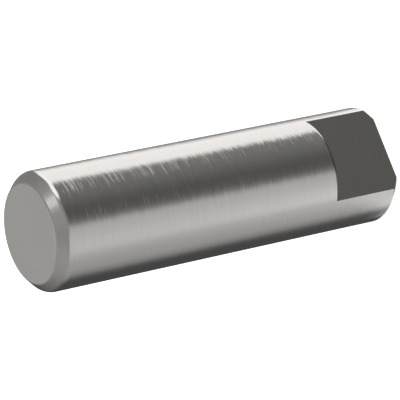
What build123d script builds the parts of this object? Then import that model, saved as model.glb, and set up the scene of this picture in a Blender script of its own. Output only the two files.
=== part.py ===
from build123d import *
import os

# Tracer pin: one solid steel pin, turned, ground round and milled once.
# Row frame, millimetres: +Z runs along the pin's axis, the origin is the
# centre of the tail face, and the tail face lies in the plane z = 0.
# The nose, at the top, is the end that follows the work. The tail has a
# flat for a set screw, and the flat faces -Y.

# ---- driving dimensions ------------------------------------------------
diameter = 9.525          # shank, 3/8 in
length = 32.12            # overall, tail face to nose face

nose_bevel = 0.82         # 45 degree bevel round the nose, along and across the axis
nose_edge_radius = 0.80   # rounding where the bevel runs into the shank
nose_face_radius = 0.35   # rounding where the bevel meets the nose face

tail_bevel = 0.64         # 45 degree bevel round the tail, along and across the axis
tail_edge_radius = 0.06   # deburred edges of the tail bevel

flat_length = 6.19        # flat, from the tail face up to the wall of its shoulder
flat_depth = 1.56         # depth of the flat below the round surface
shoulder_radius = 0.31    # rounding between the shoulder's wall and the round surface

# ---- derived -----------------------------------------------------------
radius = diameter / 2
flat_plane = radius - flat_depth      # distance of the flat from the axis

# ---- turned blank ------------------------------------------------------
# Half section in the XZ plane, revolved about Z. The corners run from the
# tail face out round the shank to the nose face.
axis_tail = (0, 0, 0)
tail_inner = (radius - tail_bevel, 0, 0)
tail_outer = (radius, 0, tail_bevel)
nose_outer = (radius, 0, length - nose_bevel)
nose_inner = (radius - nose_bevel, 0, length)
axis_nose = (0, 0, length)

outline = FilletPolyline(
    axis_tail,
    tail_inner,
    tail_outer,
    nose_outer,
    nose_inner,
    axis_nose,
    radius=[tail_edge_radius, tail_edge_radius, nose_edge_radius, nose_face_radius],
)
section = make_face([*outline.edges(), Line(axis_nose, axis_tail)])
blank = revolve(section, axis=Axis.Z, revolution_arc=360)

# ---- flat for the set screw --------------------------------------------
# The cutter's path: a block on the -Y side, from below the tail face up to
# the wall of the shoulder. The wall's arc is then rounded by hand.
reach = diameter
cutter = Pos(0, -flat_plane - reach / 2, (flat_length - reach) / 2) * Box(
    2 * reach, reach, flat_length + reach
)
milled = blank - cutter
wall = milled.faces().filter_by(Axis.Z).group_by(Axis.Z)[1]
wall_arc = wall.edges().filter_by(GeomType.CIRCLE)
tracer_pin = fillet(wall_arc, shoulder_radius)

# ---- write -------------------------------------------------------------
solid = tracer_pin.solids()[0]
os.makedirs("parts", exist_ok=True)
export_step(solid, "parts/tracer_pin.step")

box = solid.bounding_box()
print("solids", len(tracer_pin.solids()), "valid", solid.is_valid)
print("size mm", round(box.size.X, 4), round(box.size.Y, 4), round(box.size.Z, 4))
print("volume mm3", round(solid.volume, 3), "centre", solid.center(CenterOf.MASS))
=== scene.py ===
import math

import bpy
from mathutils import Matrix, Vector


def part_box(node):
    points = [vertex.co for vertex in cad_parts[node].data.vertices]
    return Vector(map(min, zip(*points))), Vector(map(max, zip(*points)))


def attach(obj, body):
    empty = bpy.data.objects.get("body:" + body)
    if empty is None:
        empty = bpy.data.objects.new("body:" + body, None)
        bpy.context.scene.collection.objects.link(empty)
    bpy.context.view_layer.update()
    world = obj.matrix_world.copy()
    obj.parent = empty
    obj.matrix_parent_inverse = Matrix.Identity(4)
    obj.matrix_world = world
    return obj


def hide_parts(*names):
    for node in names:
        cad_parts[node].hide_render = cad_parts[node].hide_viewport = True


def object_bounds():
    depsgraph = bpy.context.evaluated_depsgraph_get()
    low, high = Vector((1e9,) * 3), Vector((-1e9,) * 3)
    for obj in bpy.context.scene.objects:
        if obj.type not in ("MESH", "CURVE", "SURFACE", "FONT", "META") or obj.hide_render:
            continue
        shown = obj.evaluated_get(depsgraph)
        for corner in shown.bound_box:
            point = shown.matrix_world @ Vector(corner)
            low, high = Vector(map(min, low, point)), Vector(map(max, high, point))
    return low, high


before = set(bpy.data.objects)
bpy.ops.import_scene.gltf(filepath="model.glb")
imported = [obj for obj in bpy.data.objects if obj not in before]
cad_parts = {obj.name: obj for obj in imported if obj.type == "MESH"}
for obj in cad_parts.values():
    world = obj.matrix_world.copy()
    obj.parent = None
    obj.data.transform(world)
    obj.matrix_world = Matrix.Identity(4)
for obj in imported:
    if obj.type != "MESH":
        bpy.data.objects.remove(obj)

cad_lo, cad_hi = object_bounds()
pin_lo, pin_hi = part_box("tracer_pin")

# ---------------------------------------------------------------------------
# Sizes, in metres. The overall ones come from the frame, and the finer ones
# repeat the turned and milled form of the CAD solid.
# ---------------------------------------------------------------------------
MM = 0.001
LENGTH = round(pin_hi.z - pin_lo.z, 5)
RADIUS = 4.7625 * MM
NOSE_BEVEL = 0.82 * MM
NOSE_EDGE_R = 0.80 * MM
NOSE_FACE_R = 0.35 * MM
TAIL_BEVEL = 0.64 * MM
TAIL_EDGE_R = 0.06 * MM
FLAT_PLANE = RADIUS - 1.56 * MM
SHOULDER = 6.19 * MM    # wall of the flat's shoulder
EDGE_R = 0.31 * MM      # rounding between that wall and the round surface


# ---------------------------------------------------------------------------
# The pin's mesh: rings round the axis, with the flat and its shoulder as
# grids that share their edges with the rings.
# ---------------------------------------------------------------------------
def arc_between(a, p, b, r, n):
    """Points (radius, z, normal radius, normal z) of the rounding at corner p of the outline a-p-b."""
    a, p, b = Vector(a), Vector(p), Vector(b)
    u, v = (a - p).normalized(), (b - p).normalized()
    ang = u.angle(v)
    t = r / math.tan(ang / 2)
    c = p + (u + v).normalized() * (r / math.sin(ang / 2))
    s, e = (p + u * t) - c, (p + v * t) - c
    turn = s.angle_signed(e)
    out = []
    for k in range(n + 1):
        w = -turn * k / n
        d = Vector((s.x * math.cos(w) - s.y * math.sin(w), s.x * math.sin(w) + s.y * math.cos(w)))
        out.append((c.x + d.x, c.y + d.y, d.x / r, d.y / r))
    return out


def straight(p, q, n):
    """Points strictly between the ends p and q, (radius, z, normal radius, normal z)."""
    out = []
    for k in range(1, n):
        t = k / n
        out.append((p[0] + (q[0] - p[0]) * t, p[1] + (q[1] - p[1]) * t, p[2], p[3]))
    return out


corners = [
    (0.0, 0.0),
    (RADIUS - TAIL_BEVEL, 0.0),
    (RADIUS, TAIL_BEVEL),
    (RADIUS, LENGTH - NOSE_BEVEL),
    (RADIUS - NOSE_BEVEL, LENGTH),
    (0.0, LENGTH),
]
t1 = arc_between(corners[0], corners[1], corners[2], TAIL_EDGE_R, 5)
t2 = arc_between(corners[1], corners[2], corners[3], TAIL_EDGE_R, 5)
n1 = arc_between(corners[2], corners[3], corners[4], NOSE_EDGE_R, 20)
n2 = arc_between(corners[3], corners[4], corners[5], NOSE_FACE_R, 12)

SPLIT = SHOULDER - 0.30 * MM        # last straight row of the flat
ROUND = SHOULDER + EDGE_R           # the flat's side edges end here, and full rings start
shank_low = (RADIUS, SPLIT, 1.0, 0.0)
tail = t1 + straight(t1[-1], t2[0], 6) + t2 + straight(t2[-1], shank_low, 12) + [shank_low]
shank_round = (RADIUS, ROUND, 1.0, 0.0)
nose = [shank_round] + straight(shank_round, n1[0], 52) + n1 + straight(n1[-1], n2[0], 8) + n2

NX = 76      # columns across the flat
NB = 184     # columns round the back, from one flat edge to the other
RING = NX + NB
WALL_ROWS, EDGE_ROWS = 5, 8

verts, faces, loop_normals, face_parts = [], [], [], []


def add(co):
    verts.append(tuple(co))
    return len(verts) - 1


def face(ids, normals, part):
    clean, keep = [], []
    for i, n in zip(ids, normals):
        if i not in clean:
            clean.append(i)
            keep.append(n)
    if len(clean) < 3:
        return
    faces.append(clean)
    loop_normals.extend(keep)
    face_parts.append(part)


def unit(*v):
    return tuple(Vector(v).normalized())


def half_chord(r):
    return math.sqrt(max(r * r - FLAT_PLANE * FLAT_PLANE, 0.0))


XC = half_chord(RADIUS)
# columns across the flat, closer near its edges
x_share = [math.sin(math.pi / 2 * (2 * i / NX - 1)) * 0.80 + (2 * i / NX - 1) * 0.20 for i in range(NX + 1)]


def back_angles(r):
    """Angles of the back columns at radius r, from the +X edge of the flat round +Y to the -X edge."""
    a0 = math.atan2(-FLAT_PLANE, half_chord(r))
    a1 = math.pi - a0
    return [a0 + (a1 - a0) * j / NB for j in range(NB + 1)]


PART_SHANK, PART_BEVEL, PART_FACE, PART_FLAT = 0, 1, 2, 3

# the shoulder, one path for each column: from the flat out along the wall, then over its rounding
def shoulder_path(x):
    """Points of the wall, points of the rounding, and the rounding's normals, along a radius."""
    y = -math.sqrt(RADIUS * RADIUS - x * x)
    nx, ny = x / RADIUS, y / RADIUS
    r_flat = FLAT_PLANE / -ny
    start = math.pi / 2
    if r_flat > RADIUS - EDGE_R:
        start = math.acos(min(1.0, (r_flat - RADIUS + EDGE_R) / EDGE_R))
    wall, edge, edge_n = [], [], []
    for q in range(WALL_ROWS + 1):
        r = r_flat + (max(RADIUS - EDGE_R, r_flat) - r_flat) * q / WALL_ROWS
        wall.append((r * nx, r * ny, ROUND - EDGE_R * math.sin(start)))
    for q in range(EDGE_ROWS + 1):
        t = start * (1 - q / EDGE_ROWS)
        r = RADIUS - EDGE_R + EDGE_R * math.cos(t)
        edge.append((r * nx, r * ny, ROUND - EDGE_R * math.sin(t)))
        edge_n.append(unit(nx * math.cos(t), ny * math.cos(t), -math.sin(t)))
    return wall, edge, edge_n


paths = [shoulder_path(s * XC) for s in x_share]

# tail levels: a loop of flat points, then back points; the last level follows the shoulder
levels = []
for k, (r, z, nr, nz) in enumerate(tail + [shank_round]):
    xc = half_chord(r)
    if k < len(tail):
        flat_ids = [add((s * xc, -FLAT_PLANE, z)) for s in x_share]
    else:
        flat_ids = [add(path[0][0]) for path in paths]
    angs = back_angles(r)
    back_ids = [flat_ids[-1]] + [add((r * math.cos(a), r * math.sin(a), z)) for a in angs[1:-1]] + [flat_ids[0]]
    back_n = [unit(nr * math.cos(a), nr * math.sin(a), nz) for a in angs]
    levels.append((flat_ids, back_ids, back_n, r, z))

TAIL_RINGS_BEVEL = len(t1) + 5 + len(t2) - 1
for k in range(len(levels) - 1):
    fa, ba, na, _, za = levels[k]
    fb, bb, nb, _, zb = levels[k + 1]
    part = PART_BEVEL if k < TAIL_RINGS_BEVEL else PART_SHANK
    for j in range(NB):
        face([ba[j], ba[j + 1], bb[j + 1], bb[j]], [na[j], na[j + 1], nb[j + 1], nb[j]], part)
    for i in range(NX):
        face([fa[i], fa[i + 1], fb[i + 1], fb[i]], [(0, -1, 0)] * 4, PART_FLAT)

# tail face, in rings that shrink towards a point near the axis
base_loop = levels[0][0][:-1] + levels[0][1][:-1]
base_co = [Vector(verts[i]) for i in base_loop]
centre = Vector((0.0, 0.0004, 0.0))
prev = base_loop
for t in (0.96, 0.82, 0.66, 0.5, 0.34, 0.18):
    ring = [add(centre + (c - centre) * t) for c in base_co]
    for k in range(len(ring)):
        m = (k + 1) % len(ring)
        face([prev[m], prev[k], ring[k], ring[m]], [(0, 0, -1)] * 4, PART_FACE)
    prev = ring
mid = add(centre)
for k in range(len(prev)):
    face([prev[(k + 1) % len(prev)], prev[k], mid], [(0, 0, -1)] * 3, PART_FACE)


# the shoulder's wall and its rounding
top_flat, top_back = levels[-1][0], levels[-1][1]
wall_ids, edge_ids = [], []
for i, (wall, edge, edge_n) in enumerate(paths):
    ids = [top_flat[i]]
    for q in range(1, WALL_ROWS + 1):
        same = (Vector(wall[q]) - Vector(wall[q - 1])).length < 1e-8
        ids.append(ids[-1] if same else add(wall[q]))
    wall_ids.append(ids)
    if i in (0, NX):
        edge_ids.append([ids[-1]] * (EDGE_ROWS + 1))
    else:
        edge_ids.append([ids[-1]] + [add(c) for c in edge[1:]])
for i in range(NX):
    for q in range(WALL_ROWS):
        face([wall_ids[i][q], wall_ids[i + 1][q], wall_ids[i + 1][q + 1], wall_ids[i][q + 1]], [(0, 0, -1)] * 4, PART_FLAT)
    for q in range(EDGE_ROWS):
        na, nb = paths[i][2], paths[i + 1][2]
        face([edge_ids[i][q], edge_ids[i + 1][q], edge_ids[i + 1][q + 1], edge_ids[i][q + 1]],
             [na[q], nb[q], nb[q + 1], na[q + 1]], PART_BEVEL)

# the first full ring runs along the rounding's top and round the back
front_ang = [math.atan2(-math.sqrt(max(RADIUS * RADIUS - (s * XC) ** 2, 0.0)), s * XC) for s in x_share]
ang = front_ang[:-1] + back_angles(RADIUS)[:-1]
prev = [ids[-1] for ids in edge_ids[:-1]] + top_back[:-1]
ring_n = [unit(math.cos(a), math.sin(a), 0) for a in ang]

# full rings up to the nose face
prev_n = ring_n
for idx, (r, z, nr, nz) in enumerate(nose[1:], 1):
    ring = [add((r * math.cos(a), r * math.sin(a), z)) for a in ang]
    here_n = [unit(nr * math.cos(a), nr * math.sin(a), nz) for a in ang]
    part = PART_SHANK if idx <= 52 else PART_BEVEL
    for k in range(RING):
        j = (k + 1) % RING
        face([prev[k], prev[j], ring[j], ring[k]], [prev_n[k], prev_n[j], here_n[j], here_n[k]], part)
    prev, prev_n = ring, here_n
r_face = nose[-1][0]
for t in (0.94, 0.8, 0.64, 0.48, 0.32, 0.16):
    ring = [add((r_face * t * math.cos(a), r_face * t * math.sin(a), LENGTH)) for a in ang]
    for k in range(RING):
        j = (k + 1) % RING
        face([prev[k], prev[j], ring[j], ring[k]], [(0, 0, 1)] * 4, PART_FACE)
    prev = ring
mid = add((0, 0, LENGTH))
for k in range(RING):
    face([prev[k], prev[(k + 1) % RING], mid], [(0, 0, 1)] * 3, PART_FACE)

mesh = bpy.data.meshes.new("pin_body")
mesh.from_pydata(verts, [], faces)
mesh.polygons.foreach_set("use_smooth", [True] * len(faces))
mesh.polygons.foreach_set("material_index", face_parts)
mesh.update()
mesh.normals_split_custom_set(loop_normals)
pin = bpy.data.objects.new("pin_body", mesh)
bpy.context.scene.collection.objects.link(pin)


# ---------------------------------------------------------------------------
# Node helpers
# ---------------------------------------------------------------------------
class Nodes:
    def __init__(self, tree):
        self.t = tree

    def new(self, kind, **inputs):
        n = self.t.nodes.new(kind)
        for k, v in inputs.items():
            setattr(n, k, v)
        return n

    def link(self, a, b):
        self.t.links.new(a, b)

    def math(self, op, a, b=None, c=None, clamp=False):
        n = self.t.nodes.new("ShaderNodeMath")
        n.operation = op
        n.use_clamp = clamp
        for i, v in enumerate((a, b, c)):
            if v is None:
                continue
            if isinstance(v, (int, float)):
                n.inputs[i].default_value = v
            else:
                self.t.links.new(v, n.inputs[i])
        return n.outputs[0]

    def remap(self, v, a, b, c=0.0, d=1.0, smooth=True):
        n = self.t.nodes.new("ShaderNodeMapRange")
        n.interpolation_type = "SMOOTHSTEP" if smooth else "LINEAR"
        n.clamp = True
        self.t.links.new(v, n.inputs["Value"])
        for k, x in (("From Min", a), ("From Max", b), ("To Min", c), ("To Max", d)):
            n.inputs[k].default_value = x
        return n.outputs["Result"]

    def ramp(self, v, stops, interpolation="LINEAR"):
        n = self.t.nodes.new("ShaderNodeValToRGB")
        n.color_ramp.interpolation = interpolation
        e = n.color_ramp.elements
        while len(e) > 1:
            e.remove(e[-1])
        e[0].position, e[0].color = stops[0][0], tuple(stops[0][1])
        for pos, col in stops[1:]:
            x = e.new(pos)
            x.color = tuple(col)
        self.t.links.new(v, n.inputs["Fac"])
        return n.outputs["Color"]

    def mix(self, fac, a, b, kind="MIX"):
        n = self.t.nodes.new("ShaderNodeMix")
        n.data_type = "RGBA"
        n.blend_type = kind
        for sock, v in ((n.inputs[0], fac), (n.inputs[6], a), (n.inputs[7], b)):
            if isinstance(v, (int, float)):
                sock.default_value = v if sock.type == "VALUE" else (v, v, v, 1)
            elif isinstance(v, tuple):
                sock.default_value = v if len(v) == 4 else (*v, 1)
            else:
                self.t.links.new(v, sock)
        return n.outputs[2]

    def noise(self, vec, scale, detail=2.0, rough=0.5, dist=0.0, dims="3D"):
        n = self.t.nodes.new("ShaderNodeTexNoise")
        n.noise_dimensions = dims
        self.t.links.new(vec, n.inputs["Vector"])
        n.inputs["Scale"].default_value = scale
        n.inputs["Detail"].default_value = detail
        n.inputs["Roughness"].default_value = rough
        n.inputs["Distortion"].default_value = dist
        return n.outputs["Fac"]

    def scaled(self, vec, x, y, z, off=(0, 0, 0)):
        n = self.t.nodes.new("ShaderNodeMapping")
        self.t.links.new(vec, n.inputs["Vector"])
        n.inputs["Scale"].default_value = (x, y, z)
        n.inputs["Location"].default_value = off
        return n.outputs["Vector"]

    def combine(self, x, y, z):
        n = self.t.nodes.new("ShaderNodeCombineXYZ")
        for i, v in enumerate((x, y, z)):
            if isinstance(v, (int, float)):
                n.inputs[i].default_value = v
            else:
                self.t.links.new(v, n.inputs[i])
        return n.outputs[0]

    def tilt(self, lift, across=(0.0, 0.0)):
        """The surface's normal, tipped along the axis by lift (its tangent), and by across in x and y."""
        geo = self.new("ShaderNodeNewGeometry")
        add = self.new("ShaderNodeVectorMath", operation="ADD")
        self.link(geo.outputs["Normal"], add.inputs[0])
        self.link(self.combine(*across, lift), add.inputs[1])
        out = self.new("ShaderNodeVectorMath", operation="NORMALIZE")
        self.link(add.outputs[0], out.inputs[0])
        return out.outputs[0]

    def bump(self, height, distance, strength=1.0, normal=None):
        n = self.t.nodes.new("ShaderNodeBump")
        n.inputs["Strength"].default_value = strength
        n.inputs["Distance"].default_value = distance
        self.t.links.new(height, n.inputs["Height"])
        if normal is not None:
            self.t.links.new(normal, n.inputs["Normal"])
        return n.outputs["Normal"]


def metal(name, aniso, rotation):
    m = bpy.data.materials.new(name)
    m.use_nodes = True
    t = m.node_tree
    t.nodes.clear()
    k = Nodes(t)
    out = k.new("ShaderNodeOutputMaterial")
    b = k.new("ShaderNodeBsdfPrincipled")
    b.inputs["Metallic"].default_value = 1.0
    b.inputs["Anisotropic"].default_value = aniso
    b.inputs["Anisotropic Rotation"].default_value = rotation
    k.link(b.outputs[0], out.inputs["Surface"])
    tan = k.new("ShaderNodeTangent", direction_type="RADIAL", axis="Z")
    k.link(tan.outputs[0], b.inputs["Tangent"])
    obj = k.new("ShaderNodeTexCoord").outputs["Object"]
    mm = k.scaled(obj, 1000, 1000, 1000)      # millimetres
    return m, k, b, mm


# shank: ground between centres, so its lines run round the axis; a few deeper ones tilt the surface enough to catch
# the lights above
shank, k, b, mm = metal("ground_shank", 0.4, 0.25)
fine = k.noise(k.scaled(mm, 0.30, 0.30, 9.0), 1.0, 3.0, 0.6)
lines = k.noise(k.scaled(mm, 0.26, 0.26, 7.0, (11, 5, 2)), 1.0, 1.0, 0.4)
sep = k.new("ShaderNodeSeparateXYZ")
k.link(mm, sep.inputs[0])
side = k.math("MULTIPLY", k.remap(sep.outputs[0], -2.2, -0.9, 0.02, 1.0), k.remap(sep.outputs[0], 3.2, 2.5, 0.15, 1.0))
side = k.math("MULTIPLY", side, k.remap(sep.outputs[1], -0.8, 0.8, 1.0, 0.22))
wear = k.math("ADD", k.remap(sep.outputs[2], 18.0, 26.0, 1.02, 1.06), k.remap(sep.outputs[2], 15.0, 9.0, 0.0, 0.05))
wear = k.math("MULTIPLY", wear, side)
crowd = k.math("MULTIPLY", k.remap(k.noise(k.scaled(mm, 0.2, 0.2, 0.80, (3, 8, 1)), 1.0, 1.0, 0.5), 0.32, 0.58, 0.86, 1.0), wear)
broken = k.remap(k.noise(k.scaled(mm, 0.9, 0.9, 3.0, (6, 6, 2)), 1.0, 1.0, 0.5), 0.38, 0.60, 0.45, 1.0)
broken = k.math("MAXIMUM", broken, k.remap(sep.outputs[0], 0.3, 1.5))
deep = k.math("MULTIPLY", k.math("MULTIPLY", k.remap(lines, 0.42, 0.58), crowd), broken)
waver = k.math("SUBTRACT", k.noise(k.scaled(mm, 0.35, 0.35, 6.0, (5, 2, 9)), 1.0, 1.0, 0.5), 0.5)
waver = k.math("MULTIPLY", waver, k.remap(sep.outputs[0], 1.0, -0.2, 1.0, 2.0))
lift = k.math("ADD", k.math("MULTIPLY", deep, 0.258), k.math("MULTIPLY", k.math("MULTIPLY", waver, wear), 0.10))
sway = k.math("SUBTRACT", k.noise(k.scaled(mm, 0.30, 0.30, 6.5, (7, 1, 4)), 1.0, 1.0, 0.5), 0.5)
steady = k.math("ADD", k.math("MULTIPLY", k.remap(sep.outputs[0], 0.0, 1.2), k.remap(sep.outputs[2], 7.0, 24.0, 0.22, 1.7)),
                k.math("MULTIPLY", k.remap(sep.outputs[0], 1.2, 0.0), k.remap(sep.outputs[0], -2.0, -1.5, 0.6, 1.15)))
steady = k.math("MULTIPLY", steady, k.math("ADD", 1.0, k.math("MULTIPLY", k.remap(sep.outputs[0], 1.1, 0.7), k.remap(sep.outputs[0], -0.9, -0.3))))
sway = k.math("MULTIPLY", k.math("MULTIPLY", sway, steady), 0.045 / 4.7625)
# the right side isn't quite true round: it leans one way towards the nose and the other towards the tail
lean = k.math("ADD", k.remap(sep.outputs[2], 15.0, 27.5, 0.006, -0.0185), k.remap(sep.outputs[2], 10.5, 8.5, 0.0, 0.011))
lean = k.math("MULTIPLY", lean, k.remap(sep.outputs[0], 1.8, 2.2))
sway = k.math("MULTIPLY_ADD", lean, 1 / 4.7625, sway)
# towards the tail the surface rolls off slightly, from handling and from sliding into its holder
near_tail = k.math("POWER", k.math("MULTIPLY_ADD", sep.outputs[2], -1 / 9.3, 10.0 / 9.3, clamp=True), 4.0)
lift = k.math("MULTIPLY_ADD", near_tail, -0.14, lift)
tilted = k.tilt(lift, (k.math("MULTIPLY", sep.outputs[1], k.math("MULTIPLY", sway, -1.0)), k.math("MULTIPLY", sep.outputs[0], sway)))
k.link(k.bump(fine, 0.0000012, normal=tilted), b.inputs["Normal"])
tone = k.noise(k.scaled(mm, 0.25, 0.25, 5.0, (2, 9, 4)), 1.0, 3.0, 0.6)
k.link(k.mix(k.remap(tone, 0.3, 0.7), (0.592, 0.587, 0.571), (0.608, 0.603, 0.587)), b.inputs["Base Color"])
k.link(k.remap(fine, 0.3, 0.7, 0.160, 0.204), b.inputs["Roughness"])

# bevels and their roundings: turned, then lightly polished
bevel, k, b, mm = metal("turned_bevel", 0.3, 0.25)
fine = k.noise(k.scaled(mm, 0.5, 0.5, 10.0), 1.0, 2.0, 0.5)
k.link(k.bump(fine, 0.0000010), b.inputs["Normal"])
k.link(k.mix(k.remap(fine, 0.3, 0.7), (0.595, 0.590, 0.575), (0.605, 0.600, 0.584)), b.inputs["Base Color"])
k.link(k.remap(fine, 0.3, 0.7, 0.14, 0.17), b.inputs["Roughness"])

# end faces: faced on the lathe, rings round the centre
faced, k, b, mm = metal("faced_end", 0.3, 0.25)
sep = k.new("ShaderNodeSeparateXYZ")
k.link(mm, sep.inputs[0])
rad = k.math("SQRT", k.math("ADD", k.math("MULTIPLY", sep.outputs[0], sep.outputs[0]), k.math("MULTIPLY", sep.outputs[1], sep.outputs[1])))
rings = k.noise(k.combine(k.math("MULTIPLY", rad, 7.0), k.math("MULTIPLY", sep.outputs[0], 0.2), k.math("MULTIPLY", sep.outputs[1], 0.2)), 1.0, 3.0, 0.6)
k.link(k.bump(rings, 0.0000008), b.inputs["Normal"])
k.link(k.mix(k.remap(rings, 0.3, 0.7), (0.597, 0.590, 0.577), (0.603, 0.596, 0.583)), b.inputs["Base Color"])
k.link(k.remap(rings, 0.3, 0.7, 0.27, 0.33), b.inputs["Roughness"])

# flat: milled along the axis, then ground, so its lines run across
flat, k, b, mm = metal("milled_flat", 0.0, 0.0)
across = k.noise(k.scaled(mm, 0.5, 0.5, 8.0, (1, 4, 6)), 1.0, 3.0, 0.6)
k.link(k.bump(across, 0.0000010), b.inputs["Normal"])
k.link(k.mix(k.remap(across, 0.3, 0.7), (0.588, 0.576, 0.540), (0.604, 0.592, 0.556)), b.inputs["Base Color"])
k.link(k.remap(across, 0.3, 0.7, 0.25, 0.28), b.inputs["Roughness"])

for m in (shank, bevel, faced, flat):
    mesh.materials.append(m)

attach(pin, "root")
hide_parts("tracer_pin")

# ---------------------------------------------------------------------------
# Floor
# ---------------------------------------------------------------------------
half = 3.0
floor_mesh = bpy.data.meshes.new("floor")
zf = cad_lo.z - 0.00001
floor_mesh.from_pydata([(-half, -half, zf), (half, -half, zf), (half, half, zf), (-half, half, zf)], [], [(0, 1, 2, 3)])
floor = bpy.data.objects.new("floor", floor_mesh)
bpy.context.scene.collection.objects.link(floor)
fm = bpy.data.materials.new("pale_floor")
fm.use_nodes = True
fb = fm.node_tree.nodes["Principled BSDF"]
fb.inputs["Base Color"].default_value = (0.35, 0.35, 0.35, 1)
fb.inputs["Emission Color"].default_value = (1.0, 1.0, 1.0, 1)
fb.inputs["Emission Strength"].default_value = 0.86
fb.inputs["Roughness"].default_value = 0.9
fb.inputs["Specular IOR Level"].default_value = 0.0
floor_mesh.materials.append(fm)
floor.visible_glossy = False

# ---------------------------------------------------------------------------
# Studio: soft panels round the pin, as directions of the world
# ---------------------------------------------------------------------------
scene = bpy.context.scene
world = bpy.data.worlds.new("studio")
scene.world = world
world.use_nodes = True
wt = world.node_tree
wt.nodes.clear()
k = Nodes(wt)
direction = k.new("ShaderNodeTexCoord").outputs["Generated"]
sep = k.new("ShaderNodeSeparateXYZ")
k.link(direction, sep.inputs[0])
az = k.math("MULTIPLY", k.math("ARCTAN2", sep.outputs[1], sep.outputs[0]), 180 / math.pi)
el = k.math("MULTIPLY", k.math("ARCSINE", sep.outputs[2]), 180 / math.pi)
turn = k.math("MULTIPLY_ADD", az, 1 / 360, 0.5)

G = 1.0 / 0.60      # the panels' brightness over what the steel gives back


def grey(v, red=0.012, blue=0.012):
    v *= G
    return (v * (1 + red), v, v * (1 - blue), 1)


def around(pairs):
    """A ring of greys, each at an azimuth in degrees."""
    return k.ramp(turn, [((a + 180) / 360, grey(v)) for a, v in pairs])


def number(value, pairs, low, high, ease="LINEAR"):
    """A number that follows value through pairs, for numbers between low and high."""
    lo, hi = pairs[0][0], pairs[-1][0]
    pos = k.math("MULTIPLY_ADD", value, 1 / (hi - lo), -lo / (hi - lo))
    col = k.ramp(pos, [((a - lo) / (hi - lo), ((n - low) / (high - low),) * 3 + (1,)) for a, n in pairs], ease)
    return k.math("MULTIPLY_ADD", col, high - low, low)


def within(v, start, end):
    """0 to 1 as v goes from start to end, where both may vary."""
    t = k.math("DIVIDE", k.math("SUBTRACT", v, start), k.math("SUBTRACT", end, start), clamp=True)
    return k.remap(t, 0.0, 1.0)


# walls of the studio: a broad fill on the left, dark gaps beside it, a dim wall in front
walls = around([
    (-180, 0.302), (-170, 0.342), (-160, 0.412), (-150, 0.440), (-140, 0.438), (-128, 0.410), (-119, 0.395), (-112, 0.362),
    (-104, 0.165), (-97, 0.092), (-88, 0.076), (-79, 0.076), (-72, 0.087), (-62, 0.110), (-50, 0.131), (-38, 0.145), (-25, 0.150),
    (20, 0.170), (60, 0.170), (78, 0.095), (90, 0.045), (110, 0.047), (128, 0.052), (137, 0.072), (150, 0.208), (162, 0.277), (180, 0.302)])
ceiling = around([
    (-180, 0.260), (-162, 0.249), (-150, 0.232), (-140, 0.222), (-115, 0.222), (-90, 0.240), (-60, 0.240), (-18, 0.246), (3, 0.232),
    (30, 0.205), (50, 0.235), (73, 0.328), (95, 0.300), (123, 0.262), (148, 0.238), (162, 0.255), (180, 0.260)])
rise_from = number(az, [(-180, 10), (-160, 21), (-130, 21), (-114, 0), (-106, -6), (-97, -14), (-88, -10), (-76, -4), (-40, -2), (20, 0), (100, -22), (140, -16), (165, -4), (180, 10)], -30, 60)
rise_to = number(az, [(-180, 26), (-160, 31), (-130, 31), (-114, 24), (-100, 36), (-70, 40), (-40, 40), (20, 48), (75, 30), (100, 48), (125, 50), (140, 46), (165, 39), (180, 26)], -30, 60)
sky = k.mix(within(el, rise_from, rise_to), walls, ceiling)

# the fill is brighter low down, towards its far side
fill_from = number(az, [(-180, -33.4), (-165, -33.4), (90, -38), (107, -37.6), (123, -38.3), (131, -37.7), (139, -36.3), (147, -35.4), (155, -34.8), (163, -34.2), (180, -33.4)], -60, 0)
fill_to = number(az, [(-180, -37), (90, -41), (107, -40.5), (115, -41.5), (123, -43.5), (131, -44.5), (139, -44.5), (147, -44), (155, -43.5), (163, -42.5), (172, -39), (180, -37)], -60, 0)
fill = number(az, [(-180, 0.225), (-171, 0.21), (-164, 0.33), (-158, 0.36), (-146, 0.20), (-128, 0.06), (-112, 0), (86, 0), (98, 0.20), (107, 0.32), (115, 0.27), (123, 0.25), (131, 0.28), (139, 0.37), (147, 0.41), (155, 0.35), (163, 0.27), (180, 0.225)], 0, 1)
sky = k.mix(k.math("MULTIPLY", k.math("MULTIPLY", within(el, fill_from, fill_to), fill), G), sky, (1, 1, 1), kind="ADD")

# straight below the pin it is dark
below_from = number(az, [(-180, -52), (-170, -47), (-160, -41), (80, -41), (100, -50), (180, -52)], -90, 0)
below_to = number(az, [(-180, -64), (-170, -59), (-160, -53), (80, -53), (100, -62), (180, -64)], -90, 0)
sky = k.mix(k.math("MULTIPLY_ADD", within(el, below_from, below_to), -0.72, 1.0), (0, 0, 0), sky)

# the strip light: upright beside the pin, then leaning over it
left = number(el, [(-60, -17.5), (-26, -17.5), (-14, -20.9), (-9, -23.5), (-5, -26.6), (-2, -42), (0, -48), (4, -51), (8, -54), (20, -53), (24, -49), (28, -45), (34, -36), (60, -36)], -60, 60)
right = number(el, [(-60, 60), (-42, 59), (-37, 52), (-35.2, 38.5), (-31, 36.2), (-24, 40), (-18, 35), (-14, 29), (-9, 23), (-1, 16), (5, 9), (9, 0), (13, -12), (20, -21), (28, -26), (34, -30), (60, -30)], -60, 60)
soft = number(el, [(-60, 13), (-30, 13), (-18, 5), (60, 3.5)], 0, 20)
into = k.math("DIVIDE", k.math("SUBTRACT", right, az), soft)
side = k.math("MULTIPLY", k.remap(k.math("SUBTRACT", az, left), -6.3, 6.3), k.remap(into, -1.0, 1.0))
strip = k.math("MULTIPLY", side, k.math("MULTIPLY", k.remap(el, 33.5, 26), k.remap(el, -63, -56)))
ends = k.math("ADD", k.remap(el, -18, -7, 0.0, 0.45), k.remap(el, -40, -48))
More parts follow.
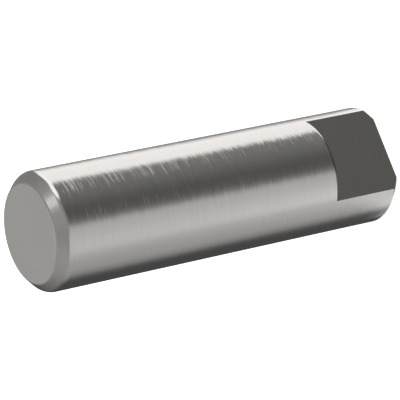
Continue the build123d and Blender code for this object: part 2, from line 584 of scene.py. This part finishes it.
sky = k.mix(strip, sky, k.mix(ends, grey(0.800, 0.018, 0.012), grey(1.02, 0.012, 0.006)))

# a small soft panel higher up
up, out = math.radians(49.5), math.radians(-38.5)
middle = Vector((math.cos(up) * math.cos(out), math.cos(up) * math.sin(out), math.sin(up)))
dot = k.new("ShaderNodeVectorMath", operation="DOT_PRODUCT")
k.link(direction, dot.inputs[0])
dot.inputs[1].default_value = middle
off = k.math("MULTIPLY", k.math("ARCCOSINE", dot.outputs["Value"]), 180 / math.pi)
glow = k.math("ADD", k.remap(off, 11, 5.5, 0.0, 0.20 * G), k.remap(off, 22, 6, 0.0, 0.13 * G))
sky = k.mix(glow, sky, (1, 1, 1), kind="ADD")

lp = k.new("ShaderNodeLightPath")
seen = k.mix(lp.outputs["Is Camera Ray"], sky, (1.0, 1.0, 1.0, 1))
bg = k.new("ShaderNodeBackground")
k.link(seen, bg.inputs["Color"])
wo = k.new("ShaderNodeOutputWorld")
k.link(bg.outputs[0], wo.inputs["Surface"])

# one broad soft light for the floor
sun = bpy.data.lights.new("overhead", "SUN")
sun.energy = 4.0
sun.angle = math.radians(110)
lamp = bpy.data.objects.new("overhead", sun)
lamp.rotation_euler = (0.0, 0.0, 0.0)
lamp.visible_glossy = False
scene.collection.objects.link(lamp)

# ---------------------------------------------------------------------------
# Camera
# ---------------------------------------------------------------------------
cam_data = bpy.data.cameras.new("camera")
cam = bpy.data.objects.new("camera", cam_data)
scene.collection.objects.link(cam)
foot = Vector(((cad_lo.x + cad_hi.x) / 2, (cad_lo.y + cad_hi.y) / 2, cad_lo.z))
cam.matrix_world = Matrix((
    (-0.343757094, 0.907386578, -0.241827746, foot.x - 0.055934276),
    (-0.437736466, -0.382667322, -0.813604638, foot.y - 0.187727543),
    (-0.830793504, -0.173825543, 0.528740800, foot.z + 0.138494194),
    (0, 0, 0, 1),
))
cam_data.sensor_width = 36.0
cam_data.lens = 262.088
cam_data.clip_start = 0.005
cam_data.clip_end = 100.0
scene.camera = cam

scene.view_settings.view_transform = "Standard"
scene.view_settings.look = "None"
